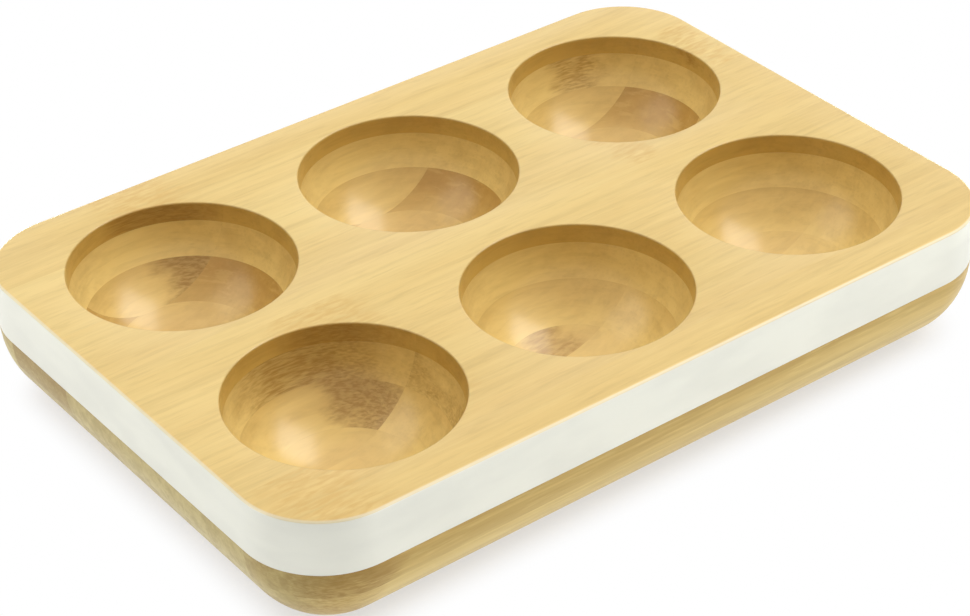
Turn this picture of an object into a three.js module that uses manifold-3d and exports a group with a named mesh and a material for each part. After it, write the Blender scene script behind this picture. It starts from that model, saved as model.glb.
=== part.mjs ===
// Egg tray: a laminated bamboo block with hemispherical wells for six eggs and a white lacquered band.
// Millimetres, +Z up. The origin is the centre of the base, and +X runs along the length and the grain.

import * as THREE from 'three';
import { mergeVertices } from 'three/addons/utils/BufferGeometryUtils.js';
import Module from 'manifold-3d';

// Wells: half balls sunk into the top face, in a grid
const WELL_COLUMNS = 3;
const WELL_ROWS = 2;
const WELL_RADIUS = 24.9;
const WELL_LAND = 10.4; // flat wood between two neighbouring rims
const END_MARGIN = 9.9; // from the last rim to the short end
const SIDE_MARGIN = 9.5; // from the last rim to the long side

// Laminate: plies from the top face down, each made of strips glued edge to edge
const WELL_FLOOR = 8.4; // wood left under a well
const TOP_PLY = 4.4;
const BASE_PLY = 5.8;
const CORE_NAMES = ['upper_core', 'middle_core', 'lower_core'];
const STRIPS_PER_HALF = 3; // from the centre line to a long side
const EDGE_STRIP_WIDTH = 19.7; // the outermost strip, the others share the rest
const GLUE_LINE = 0.1; // left open between glued faces

// Outline: upright sides, a small round on the top edge and a deep round under the base
const CORNER_RADIUS = 19;
const BASE_CORNER_RADIUS = 0.5;
const EDGE_ROUND = 0.8;

// Lacquered band: a thin coat seated flush in the upper sides
const BAND_DEPTH = 13.3; // from the top face to the band's lower edge
const BAND_TOP_MARGIN = 0.6; // bare wood above the band
const BAND_THICKNESS = 0.4;
const BAND_CLEARANCE = 0.05;

// Facets
const WELL_STEPS = 32;
const CORNER_STEPS = 7;
const BOTTOM_ROUND_STEPS = 6;
const EDGE_ROUND_STEPS = 2;

// How far a cutting shape runs past the wood
const OVERRUN = 5;

// Sizes that follow from those above
const HEIGHT = WELL_RADIUS + WELL_FLOOR;
const CORE_PLY = (HEIGHT - TOP_PLY - BASE_PLY) / CORE_NAMES.length;
const PLIES = [
  { name: 'top_ply', thickness: TOP_PLY },
  ...CORE_NAMES.map((name) => ({ name, thickness: CORE_PLY })),
  { name: 'base_ply', thickness: BASE_PLY },
];
const WELL_PITCH = 2 * WELL_RADIUS + WELL_LAND;
const WELL_XS = gridPlaces(WELL_COLUMNS);
const WELL_YS = gridPlaces(WELL_ROWS);
const LENGTH = (WELL_COLUMNS - 1) * WELL_PITCH + 2 * (WELL_RADIUS + END_MARGIN);
const WIDTH = (WELL_ROWS - 1) * WELL_PITCH + 2 * (WELL_RADIUS + SIDE_MARGIN);
const STRIP_WIDTH = (WIDTH / 2 - EDGE_STRIP_WIDTH) / (STRIPS_PER_HALF - 1);
const BOTTOM_ROUND_REACH = CORNER_RADIUS - BASE_CORNER_RADIUS;
const BOTTOM_ROUND_HEIGHT = HEIGHT - BAND_DEPTH;

// Finishes
const BAMBOO_TONES = ['#e3c078', '#d8b269', '#cba45c'];
const BAMBOO_ROUGHNESS = 0.45;
const LACQUER_COLOUR = '#e9e9e3';
const LACQUER_ROUGHNESS = 0.4;

const wasm = await Module();
wasm.setup();

// Centres of equally spaced wells, about the middle of the tray
function gridPlaces(count) {
  return Array.from({ length: count }, (_, i) => (i - (count - 1) / 2) * WELL_PITCH);
}

// A closed solid from a geometry: only positions are kept, and shared corners are welded
function solidOf(geometry) {
  geometry.deleteAttribute('normal');
  geometry.deleteAttribute('uv');
  const welded = mergeVertices(geometry);
  const mesh = new wasm.Mesh({
    numProp: 3,
    vertProperties: welded.attributes.position.array,
    triVerts: Uint32Array.from(welded.index.array),
  });
  return new wasm.Manifold(mesh);
}

// A geometry to draw from a closed solid
function geometryOf(solid) {
  const mesh = solid.getMesh();
  const geometry = new THREE.BufferGeometry();
  geometry.setAttribute('position', new THREE.BufferAttribute(mesh.vertProperties, 3));
  geometry.setIndex(new THREE.BufferAttribute(mesh.triVerts, 1));
  geometry.computeVertexNormals();
  return geometry;
}

// The tray's plan outline, drawn in by an inset
function planOutline(inset) {
  const x = LENGTH / 2 - CORNER_RADIUS;
  const y = WIDTH / 2 - CORNER_RADIUS;
  const radius = CORNER_RADIUS - inset;
  const quarter = Math.PI / 2;
  const shape = new THREE.Shape();
  shape.absarc(x, y, radius, 0, quarter);
  shape.absarc(-x, y, radius, quarter, 2 * quarter);
  shape.absarc(-x, -y, radius, 2 * quarter, 3 * quarter);
  shape.absarc(x, -y, radius, 3 * quarter, 4 * quarter);
  return shape;
}

// The plan outline raised to a height, with both ends rounded, standing on the plane through its lower end
function roundedPrism(height, roundReach, roundHeight, steps) {
  const geometry = new THREE.ExtrudeGeometry(planOutline(0), {
    depth: height - 2 * roundHeight,
    curveSegments: CORNER_STEPS,
    bevelThickness: roundHeight,
    bevelSize: roundReach,
    bevelOffset: -roundReach,
    bevelSegments: steps,
  });
  return geometry.translate(0, 0, roundHeight);
}

// The block before the wells are milled: one prism gives the deep lower round, another the small top edge
function trayBlock() {
  const lowerHeight = HEIGHT + BOTTOM_ROUND_HEIGHT + OVERRUN;
  const lower = roundedPrism(lowerHeight, BOTTOM_ROUND_REACH, BOTTOM_ROUND_HEIGHT, BOTTOM_ROUND_STEPS);
  const upperHeight = HEIGHT + EDGE_ROUND + OVERRUN;
  const upper = roundedPrism(upperHeight, EDGE_ROUND, EDGE_ROUND, EDGE_ROUND_STEPS);
  upper.translate(0, 0, HEIGHT - upperHeight);
  return solidOf(lower).intersect(solidOf(upper));
}

// One well: a ball centred on the top face
function wellCutter(x, y) {
  const ball = new THREE.SphereGeometry(WELL_RADIUS, WELL_STEPS, WELL_STEPS / 2);
  ball.rotateX(Math.PI / 2);
  return solidOf(ball.translate(x, y, HEIGHT));
}

// A hoop between two insets of the outline, from one height to another
function hoop(outerInset, innerInset, low, high) {
  const shape = planOutline(outerInset);
  shape.holes.push(planOutline(innerInset));
  const options = { depth: high - low, curveSegments: CORNER_STEPS, bevelEnabled: false };
  return solidOf(new THREE.ExtrudeGeometry(shape, options).translate(0, 0, low));
}

// The block with its wells milled and a seat cut for the band
function milledBlock(block) {
  const seatLow = HEIGHT - BAND_DEPTH - BAND_CLEARANCE;
  const seatHigh = HEIGHT - BAND_TOP_MARGIN + BAND_CLEARANCE;
  let milled = block.subtract(hoop(-OVERRUN, BAND_THICKNESS + BAND_CLEARANCE, seatLow, seatHigh));
  for (const x of WELL_XS) {
    for (const y of WELL_YS) {
      milled = milled.subtract(wellCutter(x, y));
    }
  }
  return milled;
}

// The band: the skin of the block between its two edges
function bandSolid(block) {
  return block.intersect(hoop(-OVERRUN, BAND_THICKNESS, HEIGHT - BAND_DEPTH, HEIGHT - BAND_TOP_MARGIN));
}

// The spans between neighbouring seams, each drawn in by half a glue line at both ends
function spansBetween(seams) {
  const half = GLUE_LINE / 2;
  return seams.slice(1).map((seam, i) => ({ low: seams[i] + half, high: seam - half }));
}

// Heights of each ply, from the top ply down
function plySpans() {
  const seams = [HEIGHT];
  for (const ply of PLIES) {
    seams.push(seams.at(-1) - ply.thickness);
  }
  seams[0] += OVERRUN;
  seams[seams.length - 1] -= OVERRUN;
  return spansBetween(seams.reverse()).reverse();
}

// Places of the strips from front to back: a seam on the centre line, then one every strip width
function stripSpans() {
  const seams = [];
  for (let i = 1 - STRIPS_PER_HALF; i < STRIPS_PER_HALF; i += 1) {
    seams.push(i * STRIP_WIDTH);
  }
  const edge = WIDTH / 2 + OVERRUN;
  return spansBetween([-edge, ...seams, edge]);
}

// The whole length of a strip, or its segments where the wells part it
function lengthSpans(parted) {
  const end = LENGTH / 2 + OVERRUN;
  return spansBetween(parted ? [-end, ...WELL_XS, end] : [-end, end]);
}

// True where the wells go right through a strip. On a row's centre line they pierce every ply above their
// floor, and the strip there is laid in lengths that meet at the wells' centres. Beside it, a strip is parted
// where the wells' circle on the ply's underside spans its whole width.
function isParted(height, across) {
  const depth = HEIGHT - height.low;
  if (depth >= WELL_RADIUS) {
    return false;
  }
  const reach = Math.sqrt(WELL_RADIUS ** 2 - depth ** 2);
  return WELL_YS.some((y) => {
    const holdsCentreLine = across.low < y && across.high > y;
    const isSpanned = across.low > y - reach && across.high < y + reach;
    return holdsCentreLine || isSpanned;
  });
}

// The box of a piece, from its spans along, across and up
function pieceBox(...spans) {
  const sizes = spans.map((span) => span.high - span.low);
  const middle = spans.map((span) => (span.low + span.high) / 2);
  return solidOf(new THREE.BoxGeometry(...sizes).translate(...middle));
}

// A named sub-part
function addPiece(group, name, solid, color, roughness) {
  const material = new THREE.MeshStandardMaterial({ color, roughness, metalness: 0 });
  const mesh = new THREE.Mesh(geometryOf(solid), material);
  mesh.name = name;
  group.add(mesh);
}

// One strip of a ply, whole or in the segments that the wells leave
function addStrip(ply, name, milled, across, height, tone) {
  const lengths = lengthSpans(isParted(height, across));
  lengths.forEach((along, i) => {
    const pieceName = lengths.length > 1 ? `${name}_segment_${i + 1}` : name;
    const solid = milled.intersect(pieceBox(along, across, height));
    if (!solid.isEmpty()) {
      addPiece(ply, pieceName, solid, tone, BAMBOO_ROUGHNESS);
    }
  });
}

// One ply: its strips side by side
function makePly(name, milled, height, plyIndex) {
  const ply = new THREE.Group();
  stripSpans().forEach((across, i) => {
    const tone = BAMBOO_TONES[(plyIndex + i) % BAMBOO_TONES.length];
    addStrip(ply, `${name}_strip_${i + 1}`, milled, across, height, tone);
  });
  return ply;
}

// The whole tray
function makeTray() {
  const tray = new THREE.Group();
  const block = trayBlock();
  const milled = milledBlock(block);
  plySpans().forEach((height, i) => tray.add(makePly(PLIES[i].name, milled, height, i)));
  addPiece(tray, 'lacquer_band', bandSolid(block), LACQUER_COLOUR, LACQUER_ROUGHNESS);
  return tray;
}

export default makeTray();
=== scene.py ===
"""Egg tray of laminated bamboo strips with a white lacquered band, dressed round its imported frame."""

import math
from typing import NamedTuple

import bmesh
import bpy
from mathutils import Color, Matrix, Quaternion, Vector


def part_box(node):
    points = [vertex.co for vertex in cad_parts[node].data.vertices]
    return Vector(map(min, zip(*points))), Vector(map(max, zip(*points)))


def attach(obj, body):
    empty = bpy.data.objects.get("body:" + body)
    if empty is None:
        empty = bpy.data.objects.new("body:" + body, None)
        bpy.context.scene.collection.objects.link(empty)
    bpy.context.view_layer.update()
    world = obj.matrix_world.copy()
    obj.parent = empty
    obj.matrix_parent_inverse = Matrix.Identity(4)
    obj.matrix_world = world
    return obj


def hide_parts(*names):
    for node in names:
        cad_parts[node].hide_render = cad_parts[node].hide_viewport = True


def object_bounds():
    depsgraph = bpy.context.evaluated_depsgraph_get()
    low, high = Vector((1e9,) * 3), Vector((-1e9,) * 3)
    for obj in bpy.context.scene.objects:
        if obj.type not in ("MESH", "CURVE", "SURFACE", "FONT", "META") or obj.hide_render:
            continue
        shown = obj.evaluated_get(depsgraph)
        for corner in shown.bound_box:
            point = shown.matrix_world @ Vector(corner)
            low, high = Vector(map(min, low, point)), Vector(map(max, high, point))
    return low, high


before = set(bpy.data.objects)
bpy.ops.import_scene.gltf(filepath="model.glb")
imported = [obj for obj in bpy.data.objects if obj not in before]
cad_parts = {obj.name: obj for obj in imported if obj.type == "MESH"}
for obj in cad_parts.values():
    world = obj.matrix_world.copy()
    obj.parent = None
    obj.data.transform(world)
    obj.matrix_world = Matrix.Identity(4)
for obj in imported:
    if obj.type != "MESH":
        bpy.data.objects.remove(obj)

bl_info = {
    "name": "Egg Tray",
    "version": (1, 0, 0),
    "blender": (4, 5, 0),
    "location": "View3D > Sidebar > Egg Tray",
    "description": "Models the bamboo strips and the lacquered band of an egg tray, and lights them",
    "category": "Object",
}

BLOCK_NAME = "tray_block"
MM = 0.001
X, Y, Z = range(3)
QUARTER_TURN = math.pi / 2
WHITE = (1, 1, 1, 1)
FULL_BYTE = 255

# Sockets of the mix node that hold colours, by number because it has other sockets of the same names
MIX_FACTOR = 0
MIX_FIRST = 6
MIX_SECOND = 7
MIX_RESULT = 2

# Names in the frame, from the base up and from front to back
PLIES = ("base_ply", "lower_core", "middle_core", "upper_core", "top_ply")
FACE_PLIES = ("base_ply", "top_ply")
PARTED_STRIP = "top_ply_strip_2_segment_"
STRIPS = 6
SEGMENTS = 4


def seam(axis, before, after):
    """Place of the glue line between two neighbouring CAD nodes."""
    return (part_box(before)[1][axis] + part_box(after)[0][axis]) / 2


# Sizes and places that the frame gives
CAD_LOW, CAD_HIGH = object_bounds()
BAND_LOW, BAND_HIGH = (corner.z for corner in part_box("lacquer_band"))
PLY_SEAMS = [seam(Z, f"{low}_strip_1", f"{high}_strip_1") for low, high in zip(PLIES, PLIES[1:])]
CORE_PLY = PLY_SEAMS[1] - PLY_SEAMS[0]
STRIP_SEAMS = [seam(Y, f"base_ply_strip_{i}", f"base_ply_strip_{i + 1}") for i in range(1, STRIPS)]
STRIP_WIDTH = STRIP_SEAMS[1] - STRIP_SEAMS[0]
WELL_XS = [seam(X, f"{PARTED_STRIP}{i}", f"{PARTED_STRIP}{i + 1}") for i in range(1, SEGMENTS)]
WELL_PITCH = WELL_XS[1] - WELL_XS[0]
WELL_YS = [-WELL_PITCH / 2, WELL_PITCH / 2]

# Facets
WELL_STEPS = 144
CORNER_STEPS = 24
BOTTOM_ROUND_STEPS = 20
EDGE_ROUND_STEPS = 6
RIM_STEPS = 3
BAND_EDGE_STEPS = 2
BAND_EDGE_ANGLE = math.radians(60)  # the band's edges turn by more than this
SMOOTH_ANGLE = math.radians(32)

# Tests on faces and corners of the mesh
CUT_TOLERANCE = 0.001 * MM  # a corner this close to a cut lies on it
TOP_TOLERANCE = 0.01 * MM  # a corner this close to the top face lies on it
LEVEL_NORMAL = 0.99  # a level face's normal points up at least this far
WALL_NORMAL = 0.9  # a wall's normal points up or down by less than this

# Tone of each strip from front to back: 0 is the plain bamboo, below it deeper and above it paler
STRIP_TONES = {
    "top_ply": (0.05, 0.1, 0.15, 0.15, 0.3, 0.15),
    "upper_core": (0.25, 0.25, 0.2, 0.2, 0.3, 0.3),
    "middle_core": (-0.25, 0.2, 0.14, 0.05, -0.5, 0.06),
    "lower_core": (0.05, 0.1, -0.05, -0.1, -0.25, -0.1),
    # The base ply's front strip is paler as painted light: the floor's bounce light on the near side's
    # bottom round
    "base_ply": (0.5, -0.1, 0.0, 0.1, -0.1, -0.3),
}
MIDDLE_TONE = 0.6  # place of the plain bamboo between deep and pale
CLOUD_TONE = 0.5  # spread of the tone within a strip
END_TONE_LOSS = 0.3  # share of a strip's own tone that its outer ends lose

# How much deeper a core strip's upper face is than its lower one, as cane is denser towards its skin
SKIN_DEPTHS = {
    "upper_core": (0.2, 0.2, 0.2, 0.2, 0.2, 0.2),
    "middle_core": (0.3, 0.3, 0.3, 0.3, 0.5, 0.3),
    "lower_core": (0, -0.4, -0.4, -0.4, -0.4, -0.4),
}
EVEN_STRIPS = (0,) * STRIPS

# Knuckles, where a strip holds one of the cane's joints: each one's place along the tray, its reach
# to either side, and how dark it is
KNUCKLES = {
    ("top_ply", 6): (-54 * MM, 15 * MM, 0.85),
    ("top_ply", 5): (89 * MM, 6 * MM, 0.5),
    ("top_ply", 4): (45 * MM, 6 * MM, 0.5),
    ("top_ply", 3): (-49 * MM, 14 * MM, 0.7),
    ("top_ply", 2): (-46 * MM, 12 * MM, 0.5),
    ("top_ply", 1): (-82 * MM, 14 * MM, 0.3),
    ("upper_core", 6): (66 * MM, 8 * MM, 0.35),
    ("upper_core", 3): (-56 * MM, 20 * MM, 0.9),
    ("upper_core", 2): (-46 * MM, 12 * MM, 0.6),
    ("middle_core", 6): (-49 * MM, 9 * MM, 1),
    ("middle_core", 5): (-92 * MM, 10 * MM, 0.22),
    ("middle_core", 3): (-46 * MM, 10 * MM, 0.9),
    ("middle_core", 1): (-82 * MM, 14 * MM, 0.9),
    ("lower_core", 3): (2 * MM, 8 * MM, 0.55),
    ("lower_core", 1): (-84 * MM, 10 * MM, 0.3),
}
NO_KNUCKLE = (1, 0, 0)  # far off the tray
KNUCKLE_SHIFT = 12  # millimetres over which its outline wanders
KNUCKLE_HEART = 0.3  # share of its reach that is as dark as it gets
PLAIN_DEPTH = 0.42  # how dark it is between its swirls, as a share of its darkness
SWIRL_DEPTH = 0.26  # how much darker its swirls are

# Places on the cane: the plies are a whole seed apart and the strips of a ply a part of one
SEED_PARTS = 10
SEED_SPREAD = 211  # millimetres along the cane for a whole seed


class Pattern(NamedTuple):
    """Cloudy noise: the length, width and height of its cells in millimetres, and how it breaks up."""

    cell: tuple
    detail: float = 2
    roughness: float = 0.5
    distortion: float = 0


# Patterns of the cane and of the lacquer
FINE_STREAK = Pattern((45, 1, 1))
BROAD_STREAK = Pattern((85, 3.2, 3.2), detail=3, distortion=0.4)
FLECK = Pattern((10, 1, 1), detail=3)
DASH = Pattern((9, 0.45, 0.45))
RIPPLE = Pattern((14, 6, 1.5), detail=4, roughness=0.6, distortion=0.5)
TONE_CLOUD = Pattern((70, 7, 5))
BUNDLE_GIRTH = Pattern((30, 2.4, 2.4))
KNUCKLE_OUTLINE = Pattern((9, 5, 4), detail=3)
KNUCKLE_SWIRL = Pattern((3.6, 0.9, 0.4), detail=3, distortion=0.3)
LACQUER_CLOUD = Pattern((24, 24, 9), detail=3)
LACQUER_PEEL = Pattern((0.9, 0.9, 0.9))
BUNDLE_CELL = (22, 0.75, 0.75)  # millimetres
FINE_STREAK_SHARE = 0.25  # the broad streaks have the rest

# Where each mark starts to show in its pattern, and where it shows in full
STREAK_SHOWS = (0.4, 0.66)
SIDE_STREAK_SHOWS = (0.46, 0.6)
DARK_FLECK_SHOWS = (0.48, 0.3)
PALE_FLECK_SHOWS = (0.52, 0.7)
DASH_SHOWS = (0.6, 0.72)
DARK_RIPPLE_SHOWS = (0.5, 0.36)
PALE_RIPPLE_SHOWS = (0.54, 0.68)
BUNDLE_SHOWS = (-0.05, -0.3)
SWIRL_SHOWS = (0.3, 0.7)
THIN_LACQUER_SHOWS = (0.35, 0.7)
CUT_END_SHOWS = (0.35, 0.95)  # how far a face looks along the tray

# Where marks show by place, in millimetres
WELL_FLOOR_SHOWS = (4, 7)  # above the base, below the wells' floors
WELL_EDGE = 0.05  # inside the wells' radius
# Painted highlight on the round top edge: where it shows
EDGE_HIGHLIGHT_SHOWS = (-0.6, -0.15)  # from the plan outline, below none inside it
EDGE_HIGHLIGHT_FADE = 0.3  # below the band's upper edge
SIDE_FADE = 1  # above the band's lower edge
FACE_SKIN = 0.6  # below the top face, where a knuckle isn't at its darkest yet
GLUE_HALF_WIDTH = 0.16

# How strongly each mark stains the bamboo
STREAK_STAIN = 0.12
SIDE_STREAK_STAIN = 0.14
DARK_FLECK_STAIN = 0.1
PALE_FLECK_STAIN = 0.3
DASH_STAIN = 0.07
DARK_RIPPLE_STAIN = 0.09
PALE_RIPPLE_STAIN = 0.2
BUNDLE_STAIN = 0.03
END_BUNDLE_STAIN = 0.04
KNUCKLE_STAIN = 0.8
GLUE_STAIN = 0.03
# Painted highlight: how strongly the lamps' glint on the round top edge is laid on as a pale colour
PAINTED_EDGE_HIGHLIGHT = 0.65
WALL_FLECK_LOSS = 0.85  # share of the flecks and dashes that the wells' walls lose

# Gloss and relief
BAMBOO_GLOSS_SPREAD = 0.16
BAMBOO_SPECULAR = 0.15
BAMBOO_COAT_ROUGHNESS = 0.24
GRAIN_BUMP = 0.25
GRAIN_RELIEF = 0.03 * MM
BUNDLE_RELIEF = -0.5  # of a bundle against a streak
LACQUER_GLOSS_SPREAD = 0.12
PEEL_BUMP = 0.12
PEEL_RELIEF = 0.02 * MM

# Stage
FLOOR_WIDTH = 6
FLOOR_GAP = 0.05 * MM  # so that the floor and the base never share a plane
SHADOW_REACH = 11  # millimetres inside the plan outline
SHADOW_WHITE = 0.62  # how far the floor shows as plain white in the tray's shadow
FILM_WIDTH = 36  # millimetres

# Lamps: where each one hangs from the tray, in metres, and the width and height of its box
OVERHEAD_PLACE = (0.1, 0.3, 1.35)
OVERHEAD_BOX = (1.3, 1.3)
KEY_PLACE = (1.48, -0.7, 1.8)
KEY_BOX = (1.5, 1.5)
FILL_PLACE = (-0.58, 0.32, 0.61)
FILL_BOX = (0.56, 0.56)
STRIP_BOX = (0.3, 0.03)
STRIP_HEIGHT = 0.016

# Low strip lamps: where each one stands along and across the tray, and its part of a strip lamp's power
STRIP_LAMPS = (
    (-0.6, 0.13, 1.0),
    (0.12, -0.6, 1.02),
    (0.6, 0.2, 0.45),
    (0, 0.6, 0.8),
)


def linear(code):
    """Scene colour of a six-digit web colour."""
    shown = Color([byte / FULL_BYTE for byte in bytes.fromhex(code)])
    return list(shown.from_srgb_to_scene_linear())


def size(name, description, millimetres):
    """A length that the user can change."""
    return bpy.props.FloatProperty(
        name=name, description=description, default=millimetres * MM, min=0, precision=5, unit="LENGTH"
    )


def colour(name, description, code):
    """A colour that the user can change."""
    return bpy.props.FloatVectorProperty(
        name=name, description=description, default=linear(code), min=0, max=1, subtype="COLOR"
    )


def share(name, description, default):
    """A value from none to all that the user can change."""
    return bpy.props.FloatProperty(
        name=name, description=description, default=default, min=0, max=1, subtype="FACTOR"
    )


def offset(name, description, millimetres):
    """A place on either side of the middle that the user can change."""
    return bpy.props.FloatProperty(
        name=name, description=description, default=millimetres * MM, precision=5, unit="LENGTH"
    )


def angle(name, description, degrees):
    """An angle that the user can change."""
    return bpy.props.FloatProperty(
        name=name, description=description, default=math.radians(degrees), subtype="ANGLE"
    )


def power(name, description, watts):
    """A lamp's power that the user can change."""
    return bpy.props.FloatProperty(
        name=name, description=description, default=watts, min=0, unit="POWER"
    )


class TraySizes(bpy.types.PropertyGroup):
    """Sizes of the block that the frame's boxes don't give"""

    well_radius: size("Well radius", "Radius of the half balls milled into the top", 24.9)
    rim_round: size("Rim round", "Round on the rim of each well", 0.35)
    corner_radius: size("Corner radius", "Upright corners of the tray", 19)
    edge_round: size("Edge round", "Round on the tray's top edge", 0.8)
    bottom_reach: size("Bottom round reach", "How far the sides turn in under the tray", 18.5)
    band_thickness: size("Band thickness", "Thickness of the lacquered band", 0.4)
    band_edge: size("Band edge", "Round on the band's outer edges", 0.12)


class BambooLook(bpy.types.PropertyGroup):
    """Colours and finish of the bamboo"""

    face_pale: colour("Face, pale", "Palest strips of the top and base plies", "f3d58a")
    face_deep: colour("Face, deep", "Deepest strips of the top and base plies", "dfb565")
    core_pale: colour("Core, pale", "Palest strips of the core plies", "f6da8c")
    core_deep: colour("Core, deep", "Deepest strips of the core plies", "c8a055")
    fibre: colour("Fibre", "Bundles of fibre and the cane's joints", "96702f")
    # Partly the darker cut grain of the top ply, partly painted shade on the wells' upper walls
    ring: colour("Ring", "Tint of the top ply where the wells cut through it", "e6dcb8")
    # Painted highlight: the lamps' glint along the round top edge, laid on as a pale colour
    edge: colour("Edge", "Sanded edge round the top face", "fbf4d8")
    side: colour("Side", "Tint of the bare sides below the band", "f5faff")
    end: colour("End", "Tint of the strips' ends on the outside", "e3e9f6")
    roughness: share("Roughness", "Roughness of the oiled wood", 0.45)
    coat: share("Coat", "Share of clear lacquer over the wood", 0.9)
    side_coat: share("Side coat", "Share of clear lacquer over the bare sides below the band", 0.22)


class LacquerLook(bpy.types.PropertyGroup):
    """Colour and finish of the lacquered band"""

    white: colour("White", "Colour of the lacquer", "f3f3e6")
    grey: colour("Grey", "Colour where the lacquer lies thin", "ecece0")
    roughness: share("Roughness", "Roughness of the lacquer", 0.4)


class StageLook(bpy.types.PropertyGroup):
    """Camera, light and floor"""

    azimuth: angle("Azimuth", "Turn of the camera round the tray", -37.0)
    elevation: angle("Elevation", "Height of the camera", 34.33)
    roll: angle("Roll", "Lean of the camera", -1.06)
    distance: size("Distance", "From the camera to the point that it looks at", 578.05)
    aim_along: offset("Aim along", "Point that the camera looks at, along the tray", -19.77)
    aim_across: offset("Aim across", "Point that the camera looks at, across the tray", -23.86)
    lens: size("Lens", "Focal length for a sensor as wide as a film frame", 102.8)
    ambient: share("Ambient", "Light from all round", 0.06)
    overhead: power("Overhead", "Wide lamp above the tray", 12.2)
    key: power("Key", "Lamp on the right", 30)
    fill: power("Fill", "Lamp on the left", 1.2)
    strip: power("Strip", "Each low strip lamp round the tray", 1)
    floor: colour("Floor", "Colour of the floor", "f8f8f8")


# Selecting and copying


def deselect_objects():
    """Leaves edit mode and lets go of every object."""
    if bpy.context.mode != "OBJECT":
        bpy.ops.object.mode_set(mode="OBJECT")
    bpy.ops.object.select_all(action="DESELECT")


def pick(piece):
    """Makes one object the selected and active one."""
    deselect_objects()
    piece.select_set(True)
    bpy.context.view_layer.objects.active = piece


def open_mesh(piece):
    """Starts edit mode on a piece with nothing selected in it."""
    pick(piece)
    bpy.ops.object.mode_set(mode="EDIT")
    bpy.ops.mesh.select_all(action="DESELECT")


def select_where(piece, kind, test):
    """Selects in edit mode the faces or edges that pass a test."""
    bpy.ops.mesh.select_mode(type="FACE" if kind == "faces" else "EDGE")
    bpy.ops.mesh.select_all(action="DESELECT")
    mesh = bmesh.from_edit_mesh(piece.data)
    found = [element for element in getattr(mesh, kind) if test(element)]
    if not found:
        raise RuntimeError(f"nothing to select among the {kind} of {piece.name}")
    for element in found:
        element.select_set(True)
    bmesh.update_edit_mesh(piece.data)


def copy_of(piece, name):
    """A copy with its own mesh."""
    pick(piece)
    bpy.ops.object.duplicate(linked=False)
    made = bpy.context.active_object
    made.name = name
    made.data.name = name
    return made


def remove(piece):
    """Deletes an object and its mesh."""
    bpy.data.meshes.remove(piece.data)


# Shaping the block


def upright_block(sizes):
    """The tray's upright sides, from the band's lower edge to the start of the top edge's round."""
    high = CAD_HIGH.z - sizes.edge_round
    spread = CAD_HIGH - CAD_LOW
    deselect_objects()
    bpy.ops.mesh.primitive_cube_add(size=1, location=(0, 0, (BAND_LOW + high) / 2))
    block = bpy.context.active_object
    block.name = BLOCK_NAME
    block.scale = (spread.x, spread.y, high - BAND_LOW)
    bpy.ops.object.transform_apply(location=True, rotation=True, scale=True)
    open_mesh(block)
    select_where(block, "edges", lambda edge: edge.verts[0].co.xy == edge.verts[1].co.xy)
    bpy.ops.mesh.bevel(offset=sizes.corner_radius, segments=CORNER_STEPS, affect="EDGES")
    return block


def round_end(block, side, reach, drop, steps):
    """Draws in the top or bottom face in rings that follow a quarter of an ellipse."""
    select_where(block, "faces", lambda face: face.normal.z * side > LEVEL_NORMAL)
    for step in range(steps):
        before = QUARTER_TURN * step / steps
        after = QUARTER_TURN * (step + 1) / steps
        bpy.ops.mesh.inset(
            thickness=reach * (math.cos(before) - math.cos(after)),
            depth=drop * (math.sin(after) - math.sin(before)),
        )


def rounded_block(sizes):
    """The block before anything is milled into it."""
    block = upright_block(sizes)
    round_end(block, 1, sizes.edge_round, sizes.edge_round, EDGE_ROUND_STEPS)
    round_end(block, -1, sizes.bottom_reach, BAND_LOW - CAD_LOW.z, BOTTOM_ROUND_STEPS)
    return block


def is_band_wall(face):
    """True for the faces of the sides that the band covers."""
    height = face.calc_center_median().z
    return BAND_LOW < height < BAND_HIGH and abs(face.normal.z) < WALL_NORMAL


def mark_band(block):
    """Cuts an edge loop round the sides at the band's upper edge, and selects the walls below it."""
    bpy.ops.mesh.select_all(action="SELECT")
    bpy.ops.mesh.bisect(plane_co=(0, 0, BAND_HIGH), plane_no=(0, 0, 1), threshold=CUT_TOLERANCE)
    select_where(block, "faces", is_band_wall)


def seat_band(block, sizes):
    """Sinks a shallow seat into the sides for the band."""
    mark_band(block)
    bpy.ops.mesh.extrude_region_shrink_fatten(
        TRANSFORM_OT_shrink_fatten={"value": -sizes.band_thickness}
    )


def well_cutters(sizes):
    """Six balls, as one object, whose middles lie on the top face."""
    deselect_objects()
    balls = []
    for x in WELL_XS:
        for y in WELL_YS:
            bpy.ops.mesh.primitive_uv_sphere_add(
                segments=WELL_STEPS,
                ring_count=WELL_STEPS // 2,
                radius=sizes.well_radius,
                location=(x, y, CAD_HIGH.z),
            )
            balls.append(bpy.context.active_object)
    for ball in balls:
        ball.select_set(True)
    bpy.ops.object.join()
    bpy.ops.object.transform_apply(location=True, rotation=True, scale=True)
    return bpy.context.active_object


def mill_wells(block, sizes):
    """Mills the six wells and takes the edge off their rims."""
    cutters = well_cutters(sizes)
    pick(block)
    cut = block.modifiers.new("wells", "BOOLEAN")
    cut.operation = "DIFFERENCE"
    cut.solver = "MANIFOLD"
    cut.object = cutters
    bpy.ops.object.modifier_apply(modifier=cut.name)
    remove(cutters)
    open_mesh(block)
    select_where(block, "edges", is_rim)
    bpy.ops.mesh.bevel(offset=sizes.rim_round, segments=RIM_STEPS, loop_slide=False, affect="EDGES")
    bpy.ops.object.mode_set(mode="OBJECT")


def is_rim(edge):
    """True for the edges between the top face and a well."""
    flat = [face.normal.z > LEVEL_NORMAL for face in edge.link_faces]
    on_top = all(abs(corner.co.z - CAD_HIGH.z) < TOP_TOLERANCE for corner in edge.verts)
    on_outer_edge = any(is_outer(face) for face in edge.link_faces)
    return on_top and any(flat) and not all(flat) and not on_outer_edge


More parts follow.
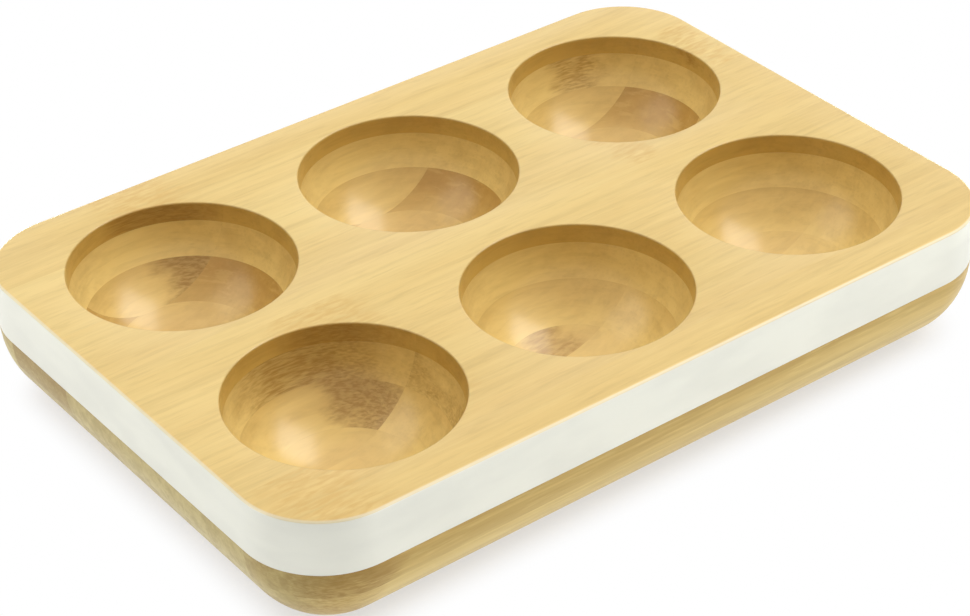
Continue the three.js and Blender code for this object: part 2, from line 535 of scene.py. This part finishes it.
def is_outer(face):
    """True for the faces of the tray's outer edge, beyond the wells."""
    centre = face.calc_center_median()
    nearest = min((centre.xy - Vector((x, y))).length for x in WELL_XS for y in WELL_YS)
    return nearest > WELL_PITCH / 2 and face.normal.z < LEVEL_NORMAL


def milled_block(sizes):
    """The whole block, seated for the band and with its wells."""
    block = rounded_block(sizes)
    seat_band(block, sizes)
    bpy.ops.object.mode_set(mode="OBJECT")
    mill_wells(block, sizes)
    return block


def band_hoop(sizes):
    """The band: the block's skin between two heights, given its thickness and soft edges."""
    band = rounded_block(sizes)
    mark_band(band)
    bpy.ops.mesh.select_all(action="INVERT")
    bpy.ops.mesh.delete(type="FACE")
    bpy.ops.object.mode_set(mode="OBJECT")
    wall = band.modifiers.new("wall", "SOLIDIFY")
    wall.thickness = sizes.band_thickness
    wall.offset = -1
    wall.use_even_offset = True
    bpy.ops.object.modifier_apply(modifier=wall.name)
    soft = band.modifiers.new("edges", "BEVEL")
    soft.width = sizes.band_edge
    soft.segments = BAND_EDGE_STEPS
    soft.limit_method = "ANGLE"
    soft.angle_limit = BAND_EDGE_ANGLE
    bpy.ops.object.modifier_apply(modifier=soft.name)
    band.name = "white_lacquer_band"
    return band


# Cutting the block into its plies, strips and segments


def keep_beyond(axis, cut_place, side):
    """Cuts away what lies on one side of a plane across an axis, and closes the cut."""
    point = [0, 0, 0]
    point[axis] = cut_place
    normal = [0, 0, 0]
    normal[axis] = side
    bpy.ops.mesh.select_all(action="SELECT")
    bpy.ops.mesh.bisect(
        plane_co=point, plane_no=normal, use_fill=True, clear_inner=True, threshold=CUT_TOLERANCE
    )


def slice_of(piece, name, axis, seams, index):
    """A copy of what lies between two neighbouring seams, counted from the lowest."""
    made = copy_of(piece, name)
    open_mesh(made)
    if index > 0:
        keep_beyond(axis, seams[index - 1], 1)
    if index < len(seams):
        keep_beyond(axis, seams[index], -1)
    bpy.ops.object.mode_set(mode="OBJECT")
    return made


def strips_of(ply, ply_block):
    """Strips of a ply and their numbers, whole or in the segments that the wells leave, by node."""
    made = {}
    for number in range(1, STRIPS + 1):
        node = f"{ply}_strip_{number}"
        strip = slice_of(ply_block, f"{node}_bamboo", Y, STRIP_SEAMS, number - 1)
        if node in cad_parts:
            made[node] = (strip, number)
            continue
        for part in range(1, SEGMENTS + 1):
            segment_node = f"{node}_segment_{part}"
            segment = slice_of(strip, f"{segment_node}_bamboo", X, WELL_XS, part - 1)
            made[segment_node] = (segment, number)
        remove(strip)
    return made


def write_values(piece, ply, number):
    """What the material reads from a strip: its tone, its place on the cane and its knuckle."""
    knuckle_x, knuckle_reach, knuckle_depth = KNUCKLES.get((ply, number), NO_KNUCKLE)
    values = {
        "tone": STRIP_TONES[ply][number - 1],
        "skin_depth": SKIN_DEPTHS.get(ply, EVEN_STRIPS)[number - 1],
        "strip_seed": PLIES.index(ply) + number / SEED_PARTS,
        "knuckle_x": knuckle_x,
        "knuckle_reach": knuckle_reach,
        "knuckle_depth": knuckle_depth,
    }
    for name, value in values.items():
        attribute = piece.data.attributes.new(name, "FLOAT", "POINT")
        attribute.data.foreach_set("value", [value] * len(piece.data.vertices))


def finish_piece(piece, node, material):
    """Smooths a piece, gives it its finish and sets it in the frame in place of its node."""
    pick(piece)
    bpy.ops.object.shade_smooth_by_angle(angle=SMOOTH_ANGLE)
    piece.data.materials.clear()
    piece.data.materials.append(material)
    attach(piece, "root")
    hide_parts(node)


def make_ply(ply, material):
    """All the strips of one ply, cut from the milled block."""
    level = PLIES.index(ply)
    ply_block = slice_of(bpy.data.objects[BLOCK_NAME], ply + "_block", Z, PLY_SEAMS, level)
    for node, (piece, number) in strips_of(ply, ply_block).items():
        write_values(piece, ply, number)
        finish_piece(piece, node, material)
    remove(ply_block)


# Shader nodes


def place(tree, kind, inputs=None, **settings):
    """Adds a node, with its settings, and sets or links its inputs."""
    made = tree.nodes.new(kind)
    for name, value in settings.items():
        setattr(made, name, value)
    for key, value in (inputs or {}).items():
        if isinstance(value, bpy.types.NodeSocket):
            tree.links.new(value, made.inputs[key])
        else:
            made.inputs[key].default_value = value
    return made


def give(tree, node, values):
    """Links values to a node's inputs by their names."""
    for name, value in values.items():
        tree.links.new(value, node.inputs[name])


def calc(tree, operation, *values):
    """The result of a sum on sockets or numbers."""
    return place(tree, "ShaderNodeMath", dict(enumerate(values)), operation=operation).outputs[0]


def vector_calc(tree, operation, *values):
    """The result of a sum on vectors."""
    return place(tree, "ShaderNodeVectorMath", dict(enumerate(values)), operation=operation).outputs[0]


def parts_of(tree, vector):
    """A vector's three parts."""
    return place(tree, "ShaderNodeSeparateXYZ", {0: vector}).outputs


def ramp(tree, value, low, high, start=0.0, end=1.0):
    """A value carried smoothly from one range to another."""
    inputs = {"Value": value, "From Min": low, "From Max": high, "To Min": start, "To Max": end}
    return place(tree, "ShaderNodeMapRange", inputs, interpolation_type="SMOOTHSTEP").outputs[0]


def varied(tree, mark, middle, spread):
    """A value that a mark carries to either side of its middle."""
    return calc(tree, "MULTIPLY_ADD", mark, spread, middle - spread / 2)


def mix(tree, factor, first, second, way="MIX"):
    """Two colours mixed."""
    inputs = {MIX_FACTOR: factor, MIX_FIRST: first, MIX_SECOND: second}
    return place(tree, "ShaderNodeMix", inputs, data_type="RGBA", blend_type=way).outputs[MIX_RESULT]


def in_cells(tree, where, cell):
    """A place counted in cells of a length, a width and a height."""
    return vector_calc(tree, "MULTIPLY", where, tuple(1 / length for length in cell))


def noise(tree, where, pattern):
    """A pattern's noise at a place, from none to all."""
    inputs = {
        "Vector": in_cells(tree, where, pattern.cell),
        "Scale": 1,
        "Detail": pattern.detail,
        "Roughness": pattern.roughness,
        "Distortion": pattern.distortion,
    }
    return place(tree, "ShaderNodeTexNoise", inputs).outputs["Fac"]


def from_nearest(tree, value, first, pitch):
    """How far a place lies from the nearest of evenly spaced ones, below none on its lower side."""
    steps = calc(tree, "DIVIDE", calc(tree, "SUBTRACT", value, first - pitch / 2), pitch)
    return varied(tree, calc(tree, "FRACT", steps), 0, pitch)


def new_group(name, results, values=()):
    """An empty group that takes a place and values and gives values: its tree, input and output."""
    tree = bpy.data.node_groups.new(name, "ShaderNodeTree")
    tree.interface.new_socket("Place", in_out="INPUT", socket_type="NodeSocketVector")
    for label in values:
        tree.interface.new_socket(label, in_out="INPUT", socket_type="NodeSocketFloat")
    for label in results:
        tree.interface.new_socket(label, in_out="OUTPUT", socket_type="NodeSocketFloat")
    return tree, tree.nodes.new("NodeGroupInput"), tree.nodes.new("NodeGroupOutput")


def group_node(tree, name, build, inputs):
    """Places a node group, which is built when it is first asked for."""
    made = tree.nodes.new("ShaderNodeGroup")
    made.node_tree = bpy.data.node_groups.get(name) or build(name)
    give(tree, made, inputs)
    return made


# Node groups that the materials share


def streaks(tree, where):
    """Fine and broad streaks along the cane."""
    fine = noise(tree, where, FINE_STREAK)
    broad = calc(tree, "MULTIPLY", noise(tree, where, BROAD_STREAK), 1 - FINE_STREAK_SHARE)
    return calc(tree, "MULTIPLY_ADD", fine, FINE_STREAK_SHARE, broad)


def bundles(tree, where):
    """Long bundles of fibre of uneven girth."""
    cells = {"Vector": in_cells(tree, where, BUNDLE_CELL), "Scale": 1}
    cell = place(tree, "ShaderNodeTexVoronoi", cells, feature="F1").outputs["Distance"]
    girth = noise(tree, where, BUNDLE_GIRTH)
    return ramp(tree, calc(tree, "SUBTRACT", cell, girth), *BUNDLE_SHOWS)


def fibre_group(name):
    """Streaks, flecks, dashes, bundles, ripples and clouds of cane that run along the strips."""
    results = ["Streak", "Fleck", "Dash", "Bundle", "Ripple", "Cloud"]
    tree, given, result = new_group(name, results)
    where = given.outputs["Place"]
    made = {
        "Streak": streaks(tree, where),
        "Fleck": noise(tree, where, FLECK),
        "Dash": ramp(tree, noise(tree, where, DASH), *DASH_SHOWS),
        "Bundle": bundles(tree, where),
        "Ripple": noise(tree, where, RIPPLE),
        "Cloud": noise(tree, where, TONE_CLOUD),
    }
    give(tree, result, made)
    return tree


def knuckle_group(name):
    """The swirl of fibre round one of the cane's joints."""
    tree, given, result = new_group(name, ["Knuckle", "Swirl"], values=["Middle", "Reach"])
    where = given.outputs["Place"]
    reach = given.outputs["Reach"]
    shift = varied(tree, noise(tree, where, KNUCKLE_OUTLINE), 0, KNUCKLE_SHIFT)
    shifted = calc(tree, "ADD", parts_of(tree, where)["X"], shift)
    away = calc(tree, "ABSOLUTE", calc(tree, "SUBTRACT", shifted, given.outputs["Middle"]))
    made = {
        "Knuckle": ramp(tree, away, reach, calc(tree, "MULTIPLY", reach, KNUCKLE_HEART)),
        "Swirl": noise(tree, where, KNUCKLE_SWIRL),
    }
    give(tree, result, made)
    return tree


def well_group(name):
    """One on the walls of the wells, and none on the rest of the block."""
    tree, given, result = new_group(name, ["Well wall"])
    parts = parts_of(tree, given.outputs["Place"])
    x = from_nearest(tree, parts["X"], WELL_XS[0] / MM, WELL_PITCH / MM)
    y = from_nearest(tree, parts["Y"], WELL_YS[0] / MM, WELL_PITCH / MM)
    away = calc(tree, "SQRT", calc(tree, "MULTIPLY_ADD", x, x, calc(tree, "MULTIPLY", y, y)))
    sizes = bpy.context.scene.egg_tray_sizes
    radius = sizes.well_radius / MM
    inside = ramp(tree, away, radius + sizes.rim_round / MM, radius - WELL_EDGE)
    above_base = ramp(tree, parts["Z"], *WELL_FLOOR_SHOWS)
    give(tree, result, {"Well wall": calc(tree, "MULTIPLY", inside, above_base)})
    return tree


def outline_group(name):
    """How far a place lies outside the tray's plan outline, in millimetres, and below none inside it."""
    tree, given, result = new_group(name, ["Outside"])
    radius = bpy.context.scene.egg_tray_sizes.corner_radius / MM
    straight = (CAD_HIGH.x / MM - radius, CAD_HIGH.y / MM - radius, 0)
    level = vector_calc(tree, "MULTIPLY", given.outputs["Place"], (1, 1, 0))
    past = vector_calc(tree, "SUBTRACT", vector_calc(tree, "ABSOLUTE", level), straight)
    out = vector_calc(tree, "MAXIMUM", past, (0, 0, 0))
    away = place(tree, "ShaderNodeVectorMath", {0: out}, operation="LENGTH").outputs["Value"]
    give(tree, result, {"Outside": calc(tree, "SUBTRACT", away, radius)})
    return tree


def line_mask(tree, value, first, pitch):
    """One on evenly spaced lines, and none away from them."""
    away = calc(tree, "ABSOLUTE", from_nearest(tree, value, first / MM, pitch / MM))
    return ramp(tree, away, GLUE_HALF_WIDTH, 0)


def glue_group(name):
    """Thin lines where strips and plies meet."""
    tree, given, result = new_group(name, ["Glue line"])
    parts = parts_of(tree, given.outputs["Place"])
    across = line_mask(tree, parts["Y"], STRIP_SEAMS[0], STRIP_WIDTH)
    up = line_mask(tree, parts["Z"], PLY_SEAMS[0], CORE_PLY)
    give(tree, result, {"Glue line": calc(tree, "MAXIMUM", across, up)})
    return tree


# Materials


def new_material(name):
    """An empty material: itself, its tree and its shader."""
    material = bpy.data.materials.new(name)
    material.use_nodes = True
    tree = material.node_tree
    tree.nodes.clear()
    shader = tree.nodes.new("ShaderNodeBsdfPrincipled")
    place(tree, "ShaderNodeOutputMaterial", {"Surface": shader.outputs["BSDF"]})
    return material, tree, shader


def own_value(tree, name):
    """A value that each piece carries."""
    made = place(tree, "ShaderNodeAttribute", attribute_name=name, attribute_type="GEOMETRY")
    return made.outputs["Fac"]


def rgba(value):
    """A colour with its alpha."""
    return (*value, 1)


def millimetres(tree, texture):
    """The place on the tray, in millimetres."""
    inputs = {0: texture.outputs["Object"], "Scale": 1 / MM}
    return place(tree, "ShaderNodeVectorMath", inputs, operation="SCALE").outputs[0]


def outside(tree, where):
    """How far a place lies outside the tray's plan outline."""
    return group_node(tree, "Plan outline", outline_group, {"Place": where}).outputs["Outside"]


def cane_marks(tree, where):
    """The grain at a place on the cane that the strip was cut from."""
    seed = own_value(tree, "strip_seed")
    along = calc(tree, "MULTIPLY", seed, SEED_SPREAD)
    spread = place(tree, "ShaderNodeCombineXYZ", {0: along, 1: seed, 2: seed}).outputs[0]
    cane = vector_calc(tree, "ADD", where, spread)
    return group_node(tree, "Bamboo fibres", fibre_group, {"Place": cane})


def knuckle_marks(tree, where):
    """The strip's own knuckle."""
    inputs = {
        "Place": where,
        "Middle": calc(tree, "DIVIDE", own_value(tree, "knuckle_x"), MM),
        "Reach": calc(tree, "DIVIDE", own_value(tree, "knuckle_reach"), MM),
    }
    return group_node(tree, "Bamboo knuckle", knuckle_group, inputs)


def side_marks(tree, height, facing, wall):
    """The bare sides below the band, the strips' ends there, and all the end grain that shows."""
    below_band = ramp(tree, height, BAND_LOW / MM + SIDE_FADE, BAND_LOW / MM)
    cut_end = ramp(tree, calc(tree, "ABSOLUTE", facing["X"]), *CUT_END_SHOWS)
    bare_side = calc(tree, "MULTIPLY", below_band, calc(tree, "SUBTRACT", 1, wall))
    outer_end = calc(tree, "MULTIPLY", cut_end, bare_side)
    end_grain = calc(tree, "MAXIMUM", outer_end, calc(tree, "MULTIPLY", cut_end, wall))
    return {"Bare side": bare_side, "Outer end": outer_end, "End grain": end_grain}


def skin_mark(tree, height):
    """How much deeper than its middle a core strip is at a height."""
    plies_up = calc(tree, "DIVIDE", calc(tree, "SUBTRACT", height, PLY_SEAMS[0] / MM), CORE_PLY / MM)
    from_middle = varied(tree, calc(tree, "FRACT", plies_up), 0, 1)
    return calc(tree, "MULTIPLY", from_middle, own_value(tree, "skin_depth"))


def painted_edge_highlight_mark(tree, where, height):
    """Where the painted highlight lies: the narrow round edge of the top face."""
    near_outline = ramp(tree, outside(tree, where), *EDGE_HIGHLIGHT_SHOWS)
    above_band = ramp(tree, height, BAND_HIGH / MM - EDGE_HIGHLIGHT_FADE, BAND_HIGH / MM)
    return calc(tree, "MULTIPLY", near_outline, above_band)


def bamboo_marks(tree):
    """What the bamboo shows at a place: tone, grain, knuckle, glue lines, well walls, cut ends, and the
    top edge where a highlight is painted.
    """
    texture = tree.nodes.new("ShaderNodeTexCoord")
    where = millimetres(tree, texture)
    height = parts_of(tree, where)["Z"]
    top = CAD_HIGH.z / MM
    groups = (
        cane_marks(tree, where),
        knuckle_marks(tree, where),
        group_node(tree, "Glue lines", glue_group, {"Place": where}),
        group_node(tree, "Well walls", well_group, {"Place": where}),
    )
    marks = {socket.name: socket for node in groups for socket in node.outputs}
    marks |= side_marks(tree, height, parts_of(tree, texture.outputs["Normal"]), marks["Well wall"])
    marks["Below face"] = ramp(tree, height, top, top - FACE_SKIN)
    marks["Skin"] = skin_mark(tree, height)
    marks["Edge"] = painted_edge_highlight_mark(tree, where, height)
    marks["Tone"] = own_value(tree, "tone")
    return marks


def stain(tree, body, tint, strength, *masks):
    """A colour laid over another where all the masks meet, as strongly as asked."""
    for mask in masks:
        strength = calc(tree, "MULTIPLY", mask, strength)
    return mix(tree, strength, body, tint)


def strip_tone(tree, marks):
    """Tone of a strip at a place, from deep to pale."""
    cloud = varied(tree, marks["Cloud"], 0, CLOUD_TONE)
    even = calc(tree, "MULTIPLY_ADD", marks["Outer end"], -END_TONE_LOSS, 1)
    tone = calc(tree, "ADD", calc(tree, "MULTIPLY_ADD", marks["Tone"], even, cloud), MIDDLE_TONE)
    return calc(tree, "SUBTRACT", tone, marks["Skin"])


def stain_fibres(tree, body, marks, fibre, pale):
    """Streaks and flecks along the strip, ripples on the wells' walls, and bundles."""
    wall = marks["Well wall"]
    off_wall = calc(tree, "MULTIPLY_ADD", wall, -WALL_FLECK_LOSS, 1)
    streak = ramp(tree, marks["Streak"], *STREAK_SHOWS)
    side_streak = ramp(tree, marks["Streak"], *SIDE_STREAK_SHOWS)
    dark_fleck = ramp(tree, marks["Fleck"], *DARK_FLECK_SHOWS)
    pale_fleck = ramp(tree, marks["Fleck"], *PALE_FLECK_SHOWS)
    dark_ripple = ramp(tree, marks["Ripple"], *DARK_RIPPLE_SHOWS)
    pale_ripple = ramp(tree, marks["Ripple"], *PALE_RIPPLE_SHOWS)
    body = stain(tree, body, fibre, STREAK_STAIN, streak)
    body = stain(tree, body, fibre, DARK_FLECK_STAIN, dark_fleck, off_wall)
    body = stain(tree, body, pale, PALE_FLECK_STAIN, pale_fleck, off_wall)
    body = stain(tree, body, fibre, SIDE_STREAK_STAIN, side_streak, marks["Bare side"])
    body = stain(tree, body, fibre, DASH_STAIN, marks["Dash"], off_wall)
    body = stain(tree, body, fibre, DARK_RIPPLE_STAIN, dark_ripple, wall)
    body = stain(tree, body, pale, PALE_RIPPLE_STAIN, pale_ripple, wall)
    body = stain(tree, body, fibre, BUNDLE_STAIN, marks["Bundle"])
    return stain(tree, body, fibre, END_BUNDLE_STAIN, marks["Bundle"], marks["End grain"])


def stain_knuckle(tree, body, marks, fibre, deep):
    """The strip's knuckle: a soft shade all over it, and dark swirls below the top face."""
    swirl = ramp(tree, marks["Swirl"], *SWIRL_SHOWS)
    body = stain(tree, body, deep, KNUCKLE_STAIN, marks["Knuckle"], swirl)
    dark_swirl = calc(tree, "MULTIPLY_ADD", swirl, SWIRL_DEPTH, PLAIN_DEPTH)
    depth = own_value(tree, "knuckle_depth")
    return stain(tree, body, fibre, depth, marks["Knuckle"], dark_swirl, marks["Below face"])


def bamboo_colour(tree, marks, look, pale, deep, wall_grain_and_shade_tint):
    """The strip's tone with its fibres, knuckle and glue lines and a painted highlight on its top edge,
    tinted where a cut shows, partly with painted shade on the top ply's walls in the wells.
    """
    fibre = rgba(look.fibre)
    body = mix(tree, strip_tone(tree, marks), rgba(deep), rgba(pale))
    body = stain_fibres(tree, body, marks, fibre, rgba(pale))
    body = stain_knuckle(tree, body, marks, fibre, rgba(deep))
    body = stain(tree, body, fibre, GLUE_STAIN, marks["Glue line"])
    # Painted highlight: the lamps' glint along the round top edge, laid on as a pale colour
    body = stain(tree, body, rgba(look.edge), PAINTED_EDGE_HIGHLIGHT, marks["Edge"])
    # On the top ply's walls in the wells: darker cut grain with painted shade
    if wall_grain_and_shade_tint:
        body = mix(tree, marks["Well wall"], body, rgba(wall_grain_and_shade_tint), "MULTIPLY")
    body = mix(tree, marks["Bare side"], body, rgba(look.side), "MULTIPLY")
    return mix(tree, marks["Outer end"], body, rgba(look.end), "MULTIPLY")


def bump(tree, strength, relief, height):
    """A surface's normal, raised and sunk by a height."""
    inputs = {"Strength": strength, "Distance": relief, "Height": height}
    return place(tree, "ShaderNodeBump", inputs).outputs["Normal"]


def bamboo_material(name, look, pale, deep, wall_grain_and_shade_tint):
    """Oiled bamboo under clear lacquer, made when it is first asked for."""
    found = bpy.data.materials.get(name)
    if found:
        return found
    material, tree, shader = new_material(name)
    marks = bamboo_marks(tree)
    height = calc(tree, "MULTIPLY_ADD", marks["Bundle"], BUNDLE_RELIEF, marks["Streak"])
    coat = calc(tree, "MULTIPLY_ADD", marks["Bare side"], look.side_coat - look.coat, look.coat)
    finish = {
        "Base Color": bamboo_colour(tree, marks, look, pale, deep, wall_grain_and_shade_tint),
        "Roughness": varied(tree, marks["Streak"], look.roughness, BAMBOO_GLOSS_SPREAD),
        "Coat Weight": coat,
        "Normal": bump(tree, GRAIN_BUMP, GRAIN_RELIEF, height),
    }
    give(tree, shader, finish)
    shader.inputs["Specular IOR Level"].default_value = BAMBOO_SPECULAR
    shader.inputs["Coat Roughness"].default_value = BAMBOO_COAT_ROUGHNESS
    return material


def face_bamboo(look):
    """Bamboo of the top and base plies."""
    return bamboo_material("face bamboo", look, look.face_pale, look.face_deep, look.ring)


def core_bamboo(look):
    """Bamboo of the three core plies."""
    return bamboo_material("core bamboo", look, look.core_pale, look.core_deep, None)


def white_lacquer(look):
    """Sprayed white lacquer, with a faint orange peel."""
    material, tree, shader = new_material("white lacquer")
    where = millimetres(tree, tree.nodes.new("ShaderNodeTexCoord"))
    cloud = noise(tree, where, LACQUER_CLOUD)
    thin = ramp(tree, cloud, *THIN_LACQUER_SHOWS)
    finish = {
        "Base Color": mix(tree, thin, rgba(look.white), rgba(look.grey)),
        "Roughness": varied(tree, cloud, look.roughness, LACQUER_GLOSS_SPREAD),
        "Normal": bump(tree, PEEL_BUMP, PEEL_RELIEF, noise(tree, where, LACQUER_PEEL)),
    }
    give(tree, shader, finish)
    return material


# Floor, light and camera


def background_rays(tree):
    """One for the rays that show the background: straight to the eye, or by way of gloss or glass."""
    path = tree.nodes.new("ShaderNodeLightPath")
    mirrored = calc(tree, "MAXIMUM", path.outputs["Is Glossy Ray"], path.outputs["Is Transmission Ray"])
    return calc(tree, "MAXIMUM", path.outputs["Is Camera Ray"], mirrored)


def light_world(scene, ambient):
    """Even white light from all round, on a white background."""
    world = bpy.data.worlds.new("studio")
    world.use_nodes = True
    tree = world.node_tree
    tree.nodes.clear()
    strength = calc(tree, "MAXIMUM", background_rays(tree), ambient)
    glow = place(tree, "ShaderNodeBackground", {"Color": WHITE, "Strength": strength})
    place(tree, "ShaderNodeOutputWorld", {"Surface": glow.outputs[0]})
    scene.world = world


def white_share(tree):
    """How far the floor shows as plain white: least under the tray, where it keeps its shadow."""
    where = millimetres(tree, tree.nodes.new("ShaderNodeTexCoord"))
    near = ramp(tree, outside(tree, where), -SHADOW_REACH, 0, SHADOW_WHITE, 1)
    return calc(tree, "MULTIPLY", near, background_rays(tree))


def lay_floor(look):
    """A wide pale floor that is white to the eye and keeps a soft shadow."""
    deselect_objects()
    bpy.ops.mesh.primitive_plane_add(size=FLOOR_WIDTH, location=(0, 0, CAD_LOW.z - FLOOR_GAP))
    floor = bpy.context.active_object
    floor.name = "floor"
    material = bpy.data.materials.new("floor")
    material.use_nodes = True
    tree = material.node_tree
    tree.nodes.clear()
    matt = place(tree, "ShaderNodeBsdfDiffuse", {"Color": rgba(look.floor)})
    white = place(tree, "ShaderNodeEmission", {"Color": WHITE, "Strength": 1})
    shown = white_share(tree)
    both = place(tree, "ShaderNodeMixShader", {0: shown, 1: matt.outputs[0], 2: white.outputs[0]})
    place(tree, "ShaderNodeOutputMaterial", {"Surface": both.outputs[0]})
    floor.data.materials.append(material)


def hang_lamp(name, where, box, watts):
    """A soft box that looks at the tray."""
    deselect_objects()
    bpy.ops.object.light_add(type="AREA", location=where)
    lamp = bpy.context.active_object
    lamp.name = name
    lamp.rotation_mode = "QUATERNION"
    lamp.rotation_quaternion = Vector(where).to_track_quat("Z", "Y")
    lamp.data.shape = "RECTANGLE"
    lamp.data.size, lamp.data.size_y = box
    lamp.data.energy = watts
    return lamp


def hang_lamps(look):
    """The key and fill lamps, an overhead one with no mirror image, and strips low round the tray."""
    hang_lamp("key lamp", KEY_PLACE, KEY_BOX, look.key)
    hang_lamp("fill lamp", FILL_PLACE, FILL_BOX, look.fill)
    overhead = hang_lamp("overhead lamp", OVERHEAD_PLACE, OVERHEAD_BOX, look.overhead)
    overhead.visible_glossy = False
    for along, across, part in STRIP_LAMPS:
        hang_lamp("strip lamp", (along, across, STRIP_HEIGHT), STRIP_BOX, look.strip * part)


def set_camera(scene, look):
    """A camera at the photograph's viewing angle."""
    aim = Vector((look.aim_along, look.aim_across, CAD_HIGH.z))
    level = math.cos(look.elevation)
    along = math.sin(look.azimuth) * level
    across = -math.cos(look.azimuth) * level
    back = Vector((along, across, math.sin(look.elevation)))
    turn = back.to_track_quat("Z", "Y") @ Quaternion((0, 0, 1), look.roll)
    data = bpy.data.cameras.new("camera")
    data.lens = look.lens / MM
    data.sensor_width = FILM_WIDTH
    camera = bpy.data.objects.new("camera", data)
    scene.collection.objects.link(camera)
    camera.matrix_world = Matrix.Translation(aim + back * look.distance) @ turn.to_matrix().to_4x4()
    scene.camera = camera


# Operators


class EGGTRAY_OT_stage(bpy.types.Operator):
    """Set up the floor, the light and the camera"""

    bl_idname = "eggtray.stage"
    bl_label = "Stage"

    def execute(self, context):
        look = context.scene.egg_tray_stage
        context.scene.view_settings.view_transform = "Standard"
        light_world(context.scene, look.ambient)
        lay_floor(look)
        hang_lamps(look)
        set_camera(context.scene, look)
        return {"FINISHED"}


class EGGTRAY_OT_block(bpy.types.Operator):
    """Mill the block that the strips are cut from"""

    bl_idname = "eggtray.block"
    bl_label = "Mill Block"

    def execute(self, context):
        milled_block(context.scene.egg_tray_sizes)
        return {"FINISHED"}


class EGGTRAY_OT_top_ply(bpy.types.Operator):
    """Model the strips of the top ply"""

    bl_idname = "eggtray.top_ply"
    bl_label = "Top Ply"

    def execute(self, context):
        make_ply("top_ply", face_bamboo(context.scene.egg_tray_bamboo))
        return {"FINISHED"}


class EGGTRAY_OT_core_plies(bpy.types.Operator):
    """Model the strips of the three core plies"""

    bl_idname = "eggtray.core_plies"
    bl_label = "Core Plies"

    def execute(self, context):
        for ply in PLIES:
            if ply not in FACE_PLIES:
                make_ply(ply, core_bamboo(context.scene.egg_tray_bamboo))
        return {"FINISHED"}


class EGGTRAY_OT_base_ply(bpy.types.Operator):
    """Model the strips of the base ply"""

    bl_idname = "eggtray.base_ply"
    bl_label = "Base Ply"

    def execute(self, context):
        make_ply("base_ply", face_bamboo(context.scene.egg_tray_bamboo))
        return {"FINISHED"}


class EGGTRAY_OT_clear_block(bpy.types.Operator):
    """Take away the milled block once its strips are cut"""

    bl_idname = "eggtray.clear_block"
    bl_label = "Clear Block"

    def execute(self, context):
        remove(bpy.data.objects[BLOCK_NAME])
        return {"FINISHED"}


class EGGTRAY_OT_lacquer_band(bpy.types.Operator):
    """Model the lacquered band round the sides"""

    bl_idname = "eggtray.lacquer_band"
    bl_label = "Lacquer Band"

    def execute(self, context):
        scene = context.scene
        band = band_hoop(scene.egg_tray_sizes)
        finish_piece(band, "lacquer_band", white_lacquer(scene.egg_tray_lacquer))
        return {"FINISHED"}


class EGGTRAY_PT_panel(bpy.types.Panel):
    """Steps and values of the egg tray"""

    bl_idname = "EGGTRAY_PT_panel"
    bl_label = "Egg Tray"
    bl_space_type = "VIEW_3D"
    bl_region_type = "UI"
    bl_category = "Egg Tray"

    def draw(self, context):
        for step in STEPS:
            self.layout.operator(step.bl_idname)
        for name in GROUPS:
            values = getattr(context.scene, name)
            box = self.layout.box()
            for key in values.__annotations__:
                box.prop(values, key)


STEPS = (
    EGGTRAY_OT_stage,
    EGGTRAY_OT_block,
    EGGTRAY_OT_top_ply,
    EGGTRAY_OT_core_plies,
    EGGTRAY_OT_base_ply,
    EGGTRAY_OT_clear_block,
    EGGTRAY_OT_lacquer_band,
)
GROUPS = {
    "egg_tray_sizes": TraySizes,
    "egg_tray_bamboo": BambooLook,
    "egg_tray_lacquer": LacquerLook,
    "egg_tray_stage": StageLook,
}


def register():
    """Adds the add-on's classes and values."""
    for made in (*GROUPS.values(), *STEPS, EGGTRAY_PT_panel):
        bpy.utils.register_class(made)
    for name, group in GROUPS.items():
        setattr(bpy.types.Scene, name, bpy.props.PointerProperty(type=group))


def unregister():
    """Takes them away again."""
    for name in GROUPS:
        delattr(bpy.types.Scene, name)
    for made in (EGGTRAY_PT_panel, *STEPS, *GROUPS.values()):
        bpy.utils.unregister_class(made)


def main():
    register()
    bpy.ops.eggtray.stage()
    bpy.ops.eggtray.block()
    bpy.ops.eggtray.top_ply()
    bpy.ops.eggtray.core_plies()
    bpy.ops.eggtray.base_ply()
    bpy.ops.eggtray.clear_block()
    bpy.ops.eggtray.lacquer_band()


if __name__ == "__main__":
    main()
